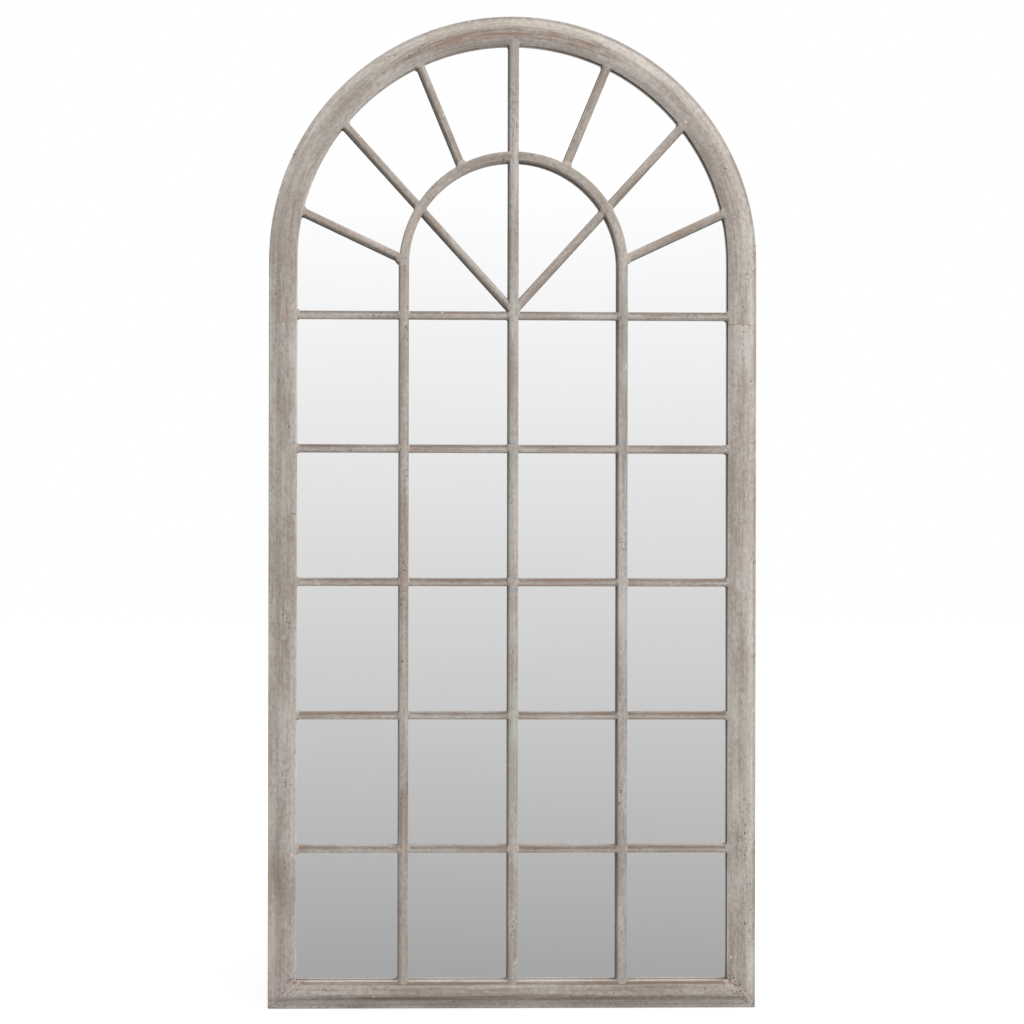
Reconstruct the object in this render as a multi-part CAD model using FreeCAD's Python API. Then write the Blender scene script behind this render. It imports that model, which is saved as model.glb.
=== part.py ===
"""Arched window-style garden mirror, in millimetres.

A moulded wooden frame with a round head holds one arched mirror sheet. A lattice of
crowned bars, with a fanlight of spokes under the arch, stands on the front of the glass.
A back board closes the rebate, and two strap hangers with swinging rings carry the weight.

+Z is up, the front faces -Y, and the origin is the middle of the bottom edge.
"""
import FreeCAD, Part
import math
import os

from FreeCAD import Vector

# Overall sizes
WIDTH = 690.0              # outer width of the frame
HEIGHT = 1400.0            # bottom edge to the crown of the arch
DEPTH = 30.0               # back plane to the face of the moulding

# Frame moulding, from the outer edge inwards and from the back plane forwards
FRAME_W = 40.0             # outer edge to sight edge
EDGE_H = 20.0              # outer side
ARRIS_R = 1.5              # rounded outer front edge
FILLET_W = 4.0             # narrow flat along the outer edge
SLOPE_W = 10.0             # hollow slope from the fillet up to the shoulder
SLOPE_H = 7.4
SLOPE_SAG = 0.3            # hollow of the slope below its chord
SHOULDER_W = 6.5           # round shoulder from the slope to the face
SHOULDER_BULGE = 0.6       # crown of the shoulder above its chord
FACE_W = 9.0               # nearly flat face
FACE_DROP = 0.3            # fall of the face towards the glass
ROLL_W = 8.5               # round fall from the face to the lip
ROLL_DROP = 3.5
ROLL_BULGE = 0.7
LIP_DROP = 3.0             # rounded sight edge below the roll
LIP_BULGE = 0.25
LEG_L = 90.0               # straight leg under each haunch of the arch
CROWN_ANGLE = 44.0         # degrees of arch in the crown piece

# Rebates, mirror sheet and back board
GLASS_T = 4.0
GLASS_REBATE_W = 8.0       # lip in front of the glass
BOARD_T = 3.0
BOARD_REBATE_W = 20.0      # sight edge to the outer wall of the board's rebate
BACK_RECESS = 7.0          # board's back inside the back plane
EDGE_GAP = 1.0             # room round the edges of glass and board

# Glazing bars: width at the glass, side height, crest height, lean of a side and width of a shoulder
MAIN_BAR_W = 13.6
MAIN_BAR_SIDE_H = 11.6
MAIN_BAR_TOP_H = 14.0
CENTRE_BAR_TOP_H = 14.6    # the through bar that the others are coped to stands a little prouder
MAIN_BAR_LEAN = 0.3
MAIN_BAR_SHOULDER_W = 0.8
ROW_BAR_W = 11.8
ROW_BAR_SIDE_H = 8.8
ROW_BAR_TOP_H = 11.4
ROW_BAR_LEAN = 1.3
ROW_BAR_SHOULDER_W = 1.4
SPOKE_W = 12.6
SPOKE_SIDE_H = 8.5
SPOKE_TOP_H = 11.0
SPOKE_LEAN = 1.4
SPOKE_SHOULDER_W = 1.5
BAR_FOOT_H = 1.8           # upright foot of a side, next to the glass
BAR_SHOULDER_RISE = 1.0    # rise of a shoulder towards the face
BAR_STEP_W = 0.2           # small step from a shoulder up to the face
BAR_STEP_H = 0.7

# Lattice and fanlight layout
ROWS = 5
COLUMNS = 4
BAR_PITCH = 154.6          # upright bars, middle to middle
ROW_PITCH = 188.3          # cross bars, middle to middle
ARCH_PANES = 7             # equal divisions of the half circle, with half a pane at each foot
TOP_ROW_DROP = 77.0        # top row of bars below the springing of the frame's arch
ARCH_BAR_DROP = 8.0        # springing of the inner arch below that of the frame
HIGH_AIM_RISE = 27.0       # the steep pair of spokes aims this far above the hub
HOUSING_L = 10.0           # bar end let into the frame past the sight edge
LAP_H = 4.0                # frame lip left standing under a bar end

# Dowels in the frame's joints
DOWEL_R = 3.0
DOWEL_L = 40.0
CORNER_DOWEL_L = 26.0
OUTER_DOWEL_IN = 13.0      # from the outer edge
OUTER_DOWEL_UP = 10.5      # from the back plane
INNER_DOWEL_OUT = 15.0     # from the sight edge
INNER_DOWEL_UP = 19.0
DOWEL_GAP = 0.1
HOLE_RELIEF = 1.0          # hole depth past the end of a dowel or screw

# Screws of the back board
BOARD_SCREWS_BELOW = 3
BOARD_SCREWS_BESIDE = 4
BOARD_SCREWS_ABOVE = 6
BOARD_SCREW_R = 1.5
BOARD_SCREW_L = 10.0
BOARD_HEAD_R = 3.0
BOARD_HEAD_H = 1.8
HEAD_BEVEL = 1.0           # bevelled rim of a screw head
SCREW_GAP = 0.15           # room round a screw in its hole

# Strap hangers
HANGER_DROP = 14.0         # ring pivot below the springing of the arch
STRAP_W = 14.0
STRAP_T = 1.2
STRAP_HOLE_PITCH = 13.0
EYE_W = 8.5                # rolled eye along the pivot
EYE_SIDE_GAP = 0.75
RUNNING_GAP = 0.08         # round the wire in the eye
RING_WIRE_R = 1.5
RING_CORNER_R = 2.5
RING_LEG_L = 8.0           # pivot to the centre of the ring's round end
RING_CLEARANCE = 0.5       # ring over the strap when it hangs
HANGER_SCREW_R = 1.7
HANGER_SCREW_L = 12.0
HANGER_HEAD_R = 3.2
HANGER_HEAD_H = 2.0
HEAD_CLEARANCE = 2.0       # ring's round end to the first screw head

OVERRUN = 5.0              # cutting shapes reach this far past what they cut

# Places worked out from the sizes above
arch_r = WIDTH / 2
spring_z = HEIGHT - arch_r
leg_z = spring_z - LEG_L
sight_r = arch_r - FRAME_W
back_y = DEPTH / 2
glass_back = BACK_RECESS + BOARD_T
glass_front = glass_back + GLASS_T
top_row_z = spring_z - TOP_ROW_DROP
hub_z = top_row_z + ROW_BAR_W / 2
arch_bar_z = spring_z - ARCH_BAR_DROP
joint_angles = (90 - CROWN_ANGLE / 2, 90 + CROWN_ANGLE / 2)
dowel_spots = ((OUTER_DOWEL_IN, OUTER_DOWEL_UP), (FRAME_W - INNER_DOWEL_OUT, INNER_DOWEL_UP))
main_bar = (MAIN_BAR_W, MAIN_BAR_SIDE_H, MAIN_BAR_TOP_H, MAIN_BAR_LEAN, MAIN_BAR_SHOULDER_W)
centre_bar = (MAIN_BAR_W, MAIN_BAR_SIDE_H, CENTRE_BAR_TOP_H, MAIN_BAR_LEAN, MAIN_BAR_SHOULDER_W)
row_bar = (ROW_BAR_W, ROW_BAR_SIDE_H, ROW_BAR_TOP_H, ROW_BAR_LEAN, ROW_BAR_SHOULDER_W)
spoke_bar = (SPOKE_W, SPOKE_SIDE_H, SPOKE_TOP_H, SPOKE_LEAN, SPOKE_SHOULDER_W)
sides = {"left": -1, "right": 1}
to_back = Vector(0, 1, 0)
to_front = Vector(0, -1, 0)


def at(x, rise, z):
    """Point by its place across, its rise in front of the back plane and its height."""
    return Vector(x, back_y - rise, z)


def on_arch(radius, angle, rise):
    """Point on a circle about the centre of the frame's arch, with the angle from +X towards +Z."""
    turn = math.radians(angle)
    return at(radius * math.cos(turn), rise, spring_z + radius * math.sin(turn))


def outlined_face(place, start, *moves):
    """Face inside an outline. A move is the next point, or a point on an arc and the next point."""
    edges = []
    here = start
    for move in moves:
        stops = [place(*point) for point in (here,) + move]
        if len(move) == 1:
            edges.append(Part.makeLine(*stops))
        else:
            edges.append(Part.Arc(*stops).toShape())
        here = move[-1]
    edges.append(Part.makeLine(place(*here), place(*start)))
    return Part.Face(Part.Wire(edges))


def crest(a, b, bulge):
    """Middle of an arc from a to b that stands off its chord by bulge, on the left-hand side."""
    run = (b[0] - a[0], b[1] - a[1])
    length = math.hypot(*run)
    return ((a[0] + b[0]) / 2 - bulge * run[1] / length, (a[1] + b[1]) / 2 + bulge * run[0] / length)


def block(x_low, x_high, rise_low, rise_high, z_low, z_high):
    """Box between two places across, two rises and two heights."""
    corner = at(x_low, rise_high, z_low)
    return Part.makeBox(x_high - x_low, rise_high - rise_low, z_high - z_low, corner)


def arched_slab(inset, rise_low, rise_high):
    """Slab with the frame's outline drawn in by inset."""
    half = arch_r - inset
    outline = outlined_face(
        lambda x, z: at(x, rise_low, z),
        (-half, inset),
        ((half, inset),),
        ((half, spring_z),),
        ((0, spring_z + half), (-half, spring_z)),
    )
    return outline.extrude(to_front * (rise_high - rise_low))


# Frame
def frame_section(place):
    """Section of the moulding: fillet, slope, shoulder, face, roll, lip, glass rebate and board rebate."""
    soft = ARRIS_R * (1 - math.sqrt(0.5))
    slope_start = (FILLET_W, EDGE_H)
    slope_end = (FILLET_W + SLOPE_W, EDGE_H + SLOPE_H)
    face_start = (slope_end[0] + SHOULDER_W, DEPTH)
    face_end = (face_start[0] + FACE_W, DEPTH - FACE_DROP)
    roll_end = (face_end[0] + ROLL_W, face_end[1] - ROLL_DROP)
    sight_edge = (FRAME_W, roll_end[1] - LIP_DROP)
    return outlined_face(
        place,
        (0, 0),
        ((0, EDGE_H - ARRIS_R),),
        ((soft, EDGE_H - soft), (ARRIS_R, EDGE_H)),
        (slope_start,),
        (crest(slope_start, slope_end, -SLOPE_SAG), slope_end),
        (crest(slope_end, face_start, SHOULDER_BULGE), face_start),
        (face_end,),
        (crest(face_end, roll_end, ROLL_BULGE), roll_end),
        (crest(roll_end, sight_edge, LIP_BULGE), sight_edge),
        ((FRAME_W, glass_front),),
        ((FRAME_W - GLASS_REBATE_W, glass_front),),
        ((FRAME_W - GLASS_REBATE_W, glass_back),),
        ((FRAME_W - BOARD_REBATE_W, glass_back),),
        ((FRAME_W - BOARD_REBATE_W, 0),),
    )


def upright(side, z_low, z_high):
    """Straight run of moulding up one side of the frame."""
    section = frame_section(lambda inward, rise: at(side * (arch_r - inward), rise, z_low))
    return section.extrude(Vector(0, 0, z_high - z_low))


def bend(angle_low, angle_high):
    """Run of moulding round the arch."""
    section = frame_section(lambda inward, rise: on_arch(arch_r - inward, angle_low, rise))
    return section.revolve(Vector(0, 0, spring_z), to_front, angle_high - angle_low)


def mitre_wedge(side, waste_inward):
    """Waste on one side of the bottom corner's mitre: on the inward or on the outward side."""
    far = FRAME_W + OVERRUN
    corner = (far, -OVERRUN) if waste_inward else (-OVERRUN, far)
    triangle = outlined_face(
        lambda inward, z: at(side * (arch_r - inward), -OVERRUN, z),
        (-OVERRUN, -OVERRUN),
        ((far, far),),
        (corner,),
    )
    return triangle.extrude(to_front * (DEPTH + 2 * OVERRUN))


def stile(side):
    """Side piece from the bottom mitre to the joint under the arch."""
    return upright(side, 0, leg_z).cut(mitre_wedge(side, True))


def bottom_rail():
    """Bottom piece, mitred at both ends."""
    section = frame_section(lambda inward, rise: at(-arch_r, rise, inward))
    rail = section.extrude(Vector(WIDTH, 0, 0))
    return rail.cut([mitre_wedge(side, False) for side in sides.values()])


def haunch(side):
    """Arch piece with its straight leg, up to the joint beside the crown."""
    curve = bend(0, joint_angles[0]) if side > 0 else bend(joint_angles[1], 180)
    return upright(side, leg_z, spring_z).fuse(curve).removeSplitter()


# Glazing bars
def bar_section(place, width, side_h, top_h, lean, shoulder_w):
    """Section of a glazing bar: flat back, feet, leaning sides, shoulders, small steps and a crowned face."""
    foot = (width / 2, BAR_FOOT_H)
    side = (foot[0] - lean, side_h)
    shoulder = (side[0] - shoulder_w, side_h + BAR_SHOULDER_RISE)
    step = (shoulder[0] - BAR_STEP_W, shoulder[1] + BAR_STEP_H)
    climb = [(-across, height) for across, height in (foot, side, shoulder, step)]
    return outlined_face(
        place,
        (-foot[0], 0),
        *((point,) for point in climb),
        ((0, top_h), step),
        (shoulder,),
        (side,),
        (foot,),
        ((foot[0], 0),),
    )


def straight_bar(start, end, sizes):
    """Bar on the glass between two points given by place across and height."""
    run = (end[0] - start[0], end[1] - start[1])
    length = math.hypot(*run)

    def place(across, height):
        return at(start[0] + across * run[1] / length, glass_front + height, start[1] - across * run[0] / length)

    return bar_section(place, *sizes).extrude(Vector(run[0], 0, run[1]))


def arch_bar(side):
    """Quarter of the inner arch, from the side bar's head to the crown."""
    section = bar_section(lambda across, height: at(side * (BAR_PITCH + across), glass_front + height, arch_bar_z),
                          *main_bar)
    return section.revolve(Vector(0, 0, arch_bar_z), to_front * side, 90)


def past(a, b, distance):
    """Point that lies a distance past b on the line from a to b."""
    length = math.hypot(b[0] - a[0], b[1] - a[1])
    return (b[0] + (b[0] - a[0]) * distance / length, b[1] + (b[1] - a[1]) * distance / length)


def spoke_ends(side, place_number, aim_z):
    """Aim, meeting with the inner arch, and housed outer end of a spoke, counted from the foot."""
    turn = math.radians((place_number + 0.5) * 180 / ARCH_PANES)
    aim = (0, aim_z)
    tip = (side * sight_r * math.cos(turn), spring_z + sight_r * math.sin(turn))
    length = math.hypot(tip[0], tip[1] - aim_z)
    lean_x = abs(tip[0]) / length
    lean_z = (tip[1] - aim_z) / length
    drop = arch_bar_z - aim_z
    reach = lean_z * drop + math.sqrt(BAR_PITCH ** 2 - (lean_x * drop) ** 2)
    if aim_z + reach * lean_z < arch_bar_z:
        reach = BAR_PITCH / lean_x
    meeting = (side * reach * lean_x, aim_z + reach * lean_z)
    return aim, meeting, past(aim, tip, HOUSING_L)


def glazing_bars():
    """All bars by name: through bars first, then the pieces coped against them."""
    foot_z = FRAME_W - HOUSING_L
    frame_lip = arched_slab(0, glass_front, glass_front + LAP_H).cut(
        arched_slab(FRAME_W, glass_front - OVERRUN, glass_front + LAP_H + OVERRUN))
    bars = {"centre_bar": straight_bar((0, foot_z), (0, spring_z + sight_r + HOUSING_L), centre_bar)}
    for name, side in sides.items():
        bars[name + "_bar"] = straight_bar((side * BAR_PITCH, foot_z), (side * BAR_PITCH, arch_bar_z), main_bar)
    for name, side in sides.items():
        bars["inner_arch_" + name] = arch_bar(side).cut(bars["centre_bar"])
    through_bars = list(bars.values())

    edge = sight_r + HOUSING_L
    stops = [-edge] + [BAR_PITCH * step for step in range(-1, COLUMNS - 2)] + [edge]
    for row in range(ROWS):
        z = top_row_z - ROW_PITCH * (ROWS - 1 - row)
        for column in range(COLUMNS):
            piece = straight_bar((stops[column], z), (stops[column + 1], z), row_bar)
            bars[f"cross_bar_row{row + 1}_column{column + 1}"] = piece.cut(through_bars)
    top_row = [bars[f"cross_bar_row{ROWS}_column{column + 1}"] for column in range(COLUMNS)]

    for name, side in sides.items():
        own_side = block(min(0, side * arch_r), max(0, side * arch_r), 0, DEPTH, 0, HEIGHT)
        for label, place_number, aim_z in (
            ("low", 0, hub_z),
            ("diagonal", 1, hub_z),
            ("high", 2, hub_z + HIGH_AIM_RISE),
        ):
            aim, meeting, outer_end = spoke_ends(side, place_number, aim_z)
            bars[f"{label}_spoke_{name}"] = straight_bar(meeting, outer_end, spoke_bar).cut(through_bars)
            if label == "diagonal":
                ray = straight_bar(aim, meeting, spoke_bar).common(own_side)
                bars["hub_ray_" + name] = ray.cut(through_bars + top_row)
    return {name: bar.cut(frame_lip) for name, bar in bars.items()}


# Dowels and screws
def pegs(spots, length, slack_r, slack_l):
    """Round pegs centred on (point, direction) spots, grown for a hole by the two slacks."""
    solids = []
    for point, direction in spots:
        unit = Vector(direction).normalize()
        start = point - unit * (length / 2 + slack_l)
        solids.append(Part.makeCylinder(DOWEL_R + slack_r, length + 2 * slack_l, start, unit))
    return solids


def leg_spots():
    """Dowel places in the joints under the arch."""
    return [(at(side * (arch_r - inward), rise, leg_z), Vector(0, 0, 1))
            for side in sides.values() for inward, rise in dowel_spots]


def crown_spots():
    """Dowel places in the joints beside the crown."""
    spots = []
    for angle in joint_angles:
        turn = math.radians(angle)
        for inward, rise in dowel_spots:
            spots.append((on_arch(arch_r - inward, angle, rise), Vector(-math.sin(turn), 0, math.cos(turn))))
    return spots


def corner_spots():
    """Dowel places in the bottom mitres."""
    return [(at(side * (arch_r - inward), rise, inward), Vector(side, 0, 1))
            for side in sides.values() for inward, rise in dowel_spots]


def screw(x, z, seat_rise, shank_r, length, head_r, head_h):
    """Pan-head wood screw whose head seats at a rise and whose point runs to the front."""
    section = outlined_face(
        lambda radius, forward: at(x + radius, seat_rise + forward, z),
        (0, length),
        ((0, -head_h),),
        ((head_r - HEAD_BEVEL, -head_h),),
        ((head_r, HEAD_BEVEL - head_h),),
        ((head_r, 0),),
        ((shank_r, 0),),
        ((shank_r, length - 2 * shank_r),),
    )
    return section.revolve(Vector(x, 0, z), to_back, 360)


def screw_hole(x, z, radius, rise_low, rise_high):
    """Hole along the depth between two rises."""
    return Part.makeCylinder(radius, rise_high - rise_low, at(x, rise_low, z), to_front)


def board_screw_places():
    """Places of the screws round the back board, by place across and height."""
    inward = FRAME_W - (GLASS_REBATE_W + BOARD_REBATE_W) / 2
    half = arch_r - inward
    places = [(half * (2 * (number + 0.5) / BOARD_SCREWS_BELOW - 1), inward) for number in range(BOARD_SCREWS_BELOW)]
    for number in range(BOARD_SCREWS_BESIDE):
        z = FRAME_W + (leg_z - FRAME_W) * (number + 0.5) / BOARD_SCREWS_BESIDE
        places += [(side * half, z) for side in sides.values()]
    for number in range(BOARD_SCREWS_ABOVE):
        point = on_arch(half, (number + 0.5) * 180 / BOARD_SCREWS_ABOVE, 0)
        places.append((point.x, point.z))
    return places


# Strap hangers
pivot_z = spring_z - HANGER_DROP
pivot_out = STRAP_T + RING_CLEARANCE + RING_WIRE_R
eye_bore_r = RING_WIRE_R + RUNNING_GAP
eye_r = eye_bore_r + STRAP_T
ring_half = EYE_W / 2 + EYE_SIDE_GAP + RING_CORNER_R
ring_reach = RING_LEG_L + ring_half + RING_WIRE_R
first_hole_drop = ring_reach + HEAD_CLEARANCE + HANGER_HEAD_R
hole_drops = (first_hole_drop, first_hole_drop + STRAP_HOLE_PITCH)
strap_l = hole_drops[-1] + STRAP_W / 2


def hanger_x(side):
    """Middle of the frame's flat back beside the board."""
    return side * (arch_r - (FRAME_W - BOARD_REBATE_W) / 2)


def hanger_strap(side):
    """Flat strap with a round foot, a narrow neck, a rolled eye and two screw holes."""
    x = hanger_x(side)
    half = STRAP_W / 2
    neck = EYE_W / 2
    shoulder = eye_r + half - neck
    plate = outlined_face(
        lambda across, down: at(x + across, 0, pivot_z - down),
        (-neck, -eye_r),
        ((-neck, eye_r),),
        ((-half, shoulder),),
        ((-half, hole_drops[-1]),),
        ((0, strap_l), (half, hole_drops[-1])),
        ((half, shoulder),),
        ((neck, eye_r),),
        ((neck, -eye_r),),
    ).extrude(to_back * STRAP_T)
    eye_start = at(x - neck, -pivot_out, pivot_z)
    along = Vector(1, 0, 0)
    strap = plate.fuse(Part.makeCylinder(eye_r, EYE_W, eye_start, along))
    holes = [screw_hole(x, pivot_z - drop, HANGER_SCREW_R + SCREW_GAP, -STRAP_T - OVERRUN, OVERRUN)
             for drop in hole_drops]
    bore = Part.makeCylinder(eye_bore_r, EYE_W, eye_start, along)
    return strap.cut(holes + [bore]).removeSplitter()


def hanger_ring(side):
    """Wire ring: pivot rod, two rounded corners, two legs and a half-round end."""
    x = hanger_x(side)
    rod_half = ring_half - RING_CORNER_R

    def wire_end(across, down, direction):
        return Part.Face(Part.Wire(Part.makeCircle(RING_WIRE_R, at(x + across, -pivot_out, pivot_z - down), direction)))

    ring = wire_end(-rod_half, 0, Vector(1, 0, 0)).extrude(Vector(2 * rod_half, 0, 0))
    runs = []
    for way in sides.values():
        elbow = at(x + way * rod_half, -pivot_out, pivot_z - RING_CORNER_R)
        runs.append(wire_end(way * rod_half, 0, Vector(1, 0, 0)).revolve(elbow, to_back * way, 90))
        leg = wire_end(way * ring_half, RING_CORNER_R, Vector(0, 0, -1))
        runs.append(leg.extrude(Vector(0, 0, RING_CORNER_R - RING_LEG_L)))
    round_end = at(x, -pivot_out, pivot_z - RING_LEG_L)
    runs.append(wire_end(ring_half, RING_LEG_L, Vector(0, 0, -1)).revolve(round_end, to_back, 180))
    return ring.multiFuse(runs).removeSplitter()


def build():
    """All nodes by name."""
    nodes = {
        "left_stile": stile(sides["left"]),
        "right_stile": stile(sides["right"]),
        "bottom_rail": bottom_rail(),
        "arch_left": haunch(sides["left"]),
        "arch_crown": bend(*joint_angles),
        "arch_right": haunch(sides["right"]),
    }
    frame_names = list(nodes)
    bars = glazing_bars()
    nodes.update(bars)

    board = arched_slab(FRAME_W - BOARD_REBATE_W + EDGE_GAP, BACK_RECESS, glass_back)
    places = board_screw_places()
    nodes["mirror_glass"] = arched_slab(FRAME_W - GLASS_REBATE_W + EDGE_GAP, glass_back, glass_front)
    nodes["back_board"] = board.cut([
        screw_hole(x, z, BOARD_SCREW_R + SCREW_GAP, BACK_RECESS - OVERRUN, glass_back + OVERRUN)
        for x, z in places])
    nodes["back_board_screws"] = Part.makeCompound([
        screw(x, z, BACK_RECESS, BOARD_SCREW_R, BOARD_SCREW_L, BOARD_HEAD_R, BOARD_HEAD_H)
        for x, z in places])
    pilots = [screw_hole(x, z, BOARD_SCREW_R + SCREW_GAP, 0, BACK_RECESS + BOARD_SCREW_L + HOLE_RELIEF)
              for x, z in places]

    hanger_screws = []
    for name, side in sides.items():
        nodes["hanger_strap_" + name] = hanger_strap(side)
        nodes["hanger_ring_" + name] = hanger_ring(side)
        for drop in hole_drops:
            x = hanger_x(side)
            z = pivot_z - drop
            hanger_screws.append(screw(x, z, -STRAP_T, HANGER_SCREW_R, HANGER_SCREW_L, HANGER_HEAD_R, HANGER_HEAD_H))
            depth = HANGER_SCREW_L - STRAP_T + HOLE_RELIEF
            pilots.append(screw_hole(x, z, HANGER_SCREW_R + SCREW_GAP, -OVERRUN, depth))
    nodes["hanger_screws"] = Part.makeCompound(hanger_screws)

    for name, spots, length in (
        ("leg_dowels", leg_spots(), DOWEL_L),
        ("crown_dowels", crown_spots(), DOWEL_L),
        ("corner_dowels", corner_spots(), CORNER_DOWEL_L),
    ):
        nodes[name] = Part.makeCompound(pegs(spots, length, 0, 0))
        pilots += pegs(spots, length, DOWEL_GAP, HOLE_RELIEF)

    for name in frame_names:
        nodes[name] = nodes[name].cut(list(bars.values()) + pilots)
    return nodes


os.makedirs("parts", exist_ok=True)
for node_name, shape in build().items():
    shape.exportStep(os.path.join("parts", node_name + ".step"))
    print(f"{node_name}: {len(shape.Solids)} solids, {shape.Volume:.0f} mm3, valid {shape.isValid()}")
print(f"ring pivot at x {hanger_x(1):.2f}, y {back_y + pivot_out:.2f}, z {pivot_z:.2f}")
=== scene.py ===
# %% [markdown]
# # Arched garden mirror
#
# The object is a window-shaped wall mirror: a moulded softwood frame with a round head, one arched sheet of
# mirror glass, and thin wooden glazing bars glued on its front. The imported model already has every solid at
# its real size, so this lesson adds what a solid cannot have: finishes, filler at the joints, real screw
# heads and light. All lengths are metres, +Z is up and the front of the mirror faces -Y.

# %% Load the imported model
import math

import bmesh
import bpy
from mathutils import Matrix, Vector


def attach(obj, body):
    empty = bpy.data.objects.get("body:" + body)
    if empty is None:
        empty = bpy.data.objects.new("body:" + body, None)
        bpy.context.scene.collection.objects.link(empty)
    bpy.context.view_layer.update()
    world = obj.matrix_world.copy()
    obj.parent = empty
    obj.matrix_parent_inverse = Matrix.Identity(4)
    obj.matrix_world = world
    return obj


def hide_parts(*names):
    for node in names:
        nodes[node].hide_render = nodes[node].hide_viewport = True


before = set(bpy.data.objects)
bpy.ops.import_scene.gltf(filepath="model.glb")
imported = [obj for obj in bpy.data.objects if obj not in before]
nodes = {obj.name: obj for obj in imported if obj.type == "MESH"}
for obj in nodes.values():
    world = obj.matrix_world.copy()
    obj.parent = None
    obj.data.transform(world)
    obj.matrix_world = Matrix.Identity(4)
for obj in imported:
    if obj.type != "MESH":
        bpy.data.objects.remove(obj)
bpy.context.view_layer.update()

bpy.ops.object.select_all(action="DESELECT")

# %% [markdown]
# ## Setting out
#
# A pattern that follows the moulding needs to know where the moulding runs. These are the joiner's
# setting-out lengths: the frame's arch springs from a line 1055 mm up, the bars stand on a regular grid, and
# the fanlight's spokes leave a small inner arch. They are written once here, because finishes and filler
# both use them.

# %% Setting-out lengths
HALF_WIDTH = 0.345
FRAME_WIDTH = 0.040
SIGHT_RADIUS = HALF_WIDTH - FRAME_WIDTH
SPRING_Z = 1.055
LEG_JOINT_Z = 0.965
BAR_PITCH = 0.1546
FIRST_ROW_Z = 0.2248
ROW_PITCH = 0.1883
ROWS = 5
INNER_ARCH_Z = 1.047
BACK_Y = 0.015
GLASS_Y = 0.001
print("bars every", BAR_PITCH, "m, rows every", ROW_PITCH, "m")

# %% [markdown]
# ## A few words for node trees
#
# A finish is a small tree of nodes. Written out in full, each node takes several lines, so these helpers
# give short words for the common ones: put a node, calculate with numbers, remap a range, make clouds, blend
# colours. They only save typing; the result is the same tree that you would wire by hand in the shader
# editor.

# %% Node helpers
def paint(red, green, blue):
    """Shader colour from the 0 to 255 values of a picture editor, by the usual screen curve."""
    def linear(value):
        share = value / 255
        return share / 12.92 if share <= 0.04045 else ((share + 0.055) / 1.055) ** 2.4
    return (linear(red), linear(green), linear(blue), 1.0)


def put(tree, kind, inputs, **settings):
    """New node with its settings; each input is a value or another node's output."""
    node = tree.nodes.new("ShaderNode" + kind)
    for name, value in settings.items():
        setattr(node, name, value)
    for name, value in inputs.items():
        if isinstance(value, bpy.types.NodeSocket):
            tree.links.new(value, node.inputs[name])
        else:
            node.inputs[name].default_value = value
    return node


def calc(tree, operation, *values):
    """Result of one sum on numbers or outputs."""
    return put(tree, "Math", dict(enumerate(values)), operation=operation).outputs[0]


def soft_step(tree, value, low, high, at_low=0.0, at_high=1.0):
    """Goes smoothly from at_low to at_high while the value goes from low to high."""
    return put(tree, "MapRange", {0: value, 1: low, 2: high, 3: at_low, 4: at_high},
               interpolation_type="SMOOTHSTEP").outputs[0]


def cloud(tree, place, detail, rough):
    """Soft noise about one unit across, from 0 to 1."""
    inputs = {"Vector": place, "Scale": 1.0, "Detail": detail, "Roughness": rough}
    return put(tree, "TexNoise", inputs).outputs[0]


def blend(tree, share, first, second):
    """Colour between two colours."""
    return put(tree, "Mix", {0: share, 6: first, 7: second}, data_type="RGBA").outputs[2]


def new_finish(name):
    """New material: itself, its tree and its shader."""
    material = bpy.data.materials.new(name)
    material.use_nodes = True
    return material, material.node_tree, material.node_tree.nodes["Principled BSDF"]


def object_axes(tree):
    """The object's own x, y and z, in metres."""
    place = put(tree, "TexCoord", {}).outputs["Object"]
    return tuple(put(tree, "SeparateXYZ", {0: place}).outputs)


def finish_with(tree, shader, colour, rough, height, depth):
    """Wires colour, roughness and a bump of a depth in metres into the shader."""
    bump = put(tree, "Bump", {"Height": height, "Distance": depth, "Strength": 1.0})
    for name, value in (("Base Color", colour), ("Roughness", rough), ("Normal", bump.outputs[0])):
        tree.links.new(value, shader.inputs[name])


print("node helpers ready")

# %% [markdown]
# ## Grain that follows each piece
#
# On the real frame the grain runs up the stiles, along the rail, and round the arch, because the moulding
# was run that way and the lime wash was brushed the same way. So each piece gets its own directions: a
# length along the grain, a place across it and a depth. For the arch these are polar coordinates; for a
# spoke, a turned Mapping node.

# %% Grain directions
def upright_grain(tree):
    """Runs up: along z, across x."""
    x, y, z = object_axes(tree)
    return z, x, y


def level_grain(tree):
    """Runs level: along x, across z."""
    x, y, z = object_axes(tree)
    return x, z, y


def round_grain(centre_z, radius):
    """Runs up the right side, round an arch about (0, centre_z) and down the left side."""
    def grain(tree):
        x, y, z = object_axes(tree)
        rise = calc(tree, "SUBTRACT", z, centre_z)
        above = calc(tree, "MAXIMUM", rise, 0.0)
        below = calc(tree, "MINIMUM", rise, 0.0)
        squares = calc(tree, "ADD", calc(tree, "MULTIPLY", x, x), calc(tree, "MULTIPLY", above, above))
        out = calc(tree, "SQRT", squares)
        turn = calc(tree, "MULTIPLY", calc(tree, "ARCTAN2", above, x), radius)
        along = calc(tree, "MULTIPLY_ADD", calc(tree, "SIGN", x), below, turn)
        return along, out, y
    return grain


def turned_grain(start_x, start_z, angle):
    """Runs along a line in the plane of the glass, at an angle from +X towards +Z."""
    def grain(tree):
        place = put(tree, "TexCoord", {}).outputs["Object"]
        local = put(tree, "Mapping", {"Vector": place, "Location": (start_x, 0.0, start_z),
                                      "Rotation": (0.0, -angle, 0.0)}, vector_type="TEXTURE").outputs[0]
        along, depth, across = put(tree, "SeparateXYZ", {0: local}).outputs
        return along, across, depth
    return grain


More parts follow.
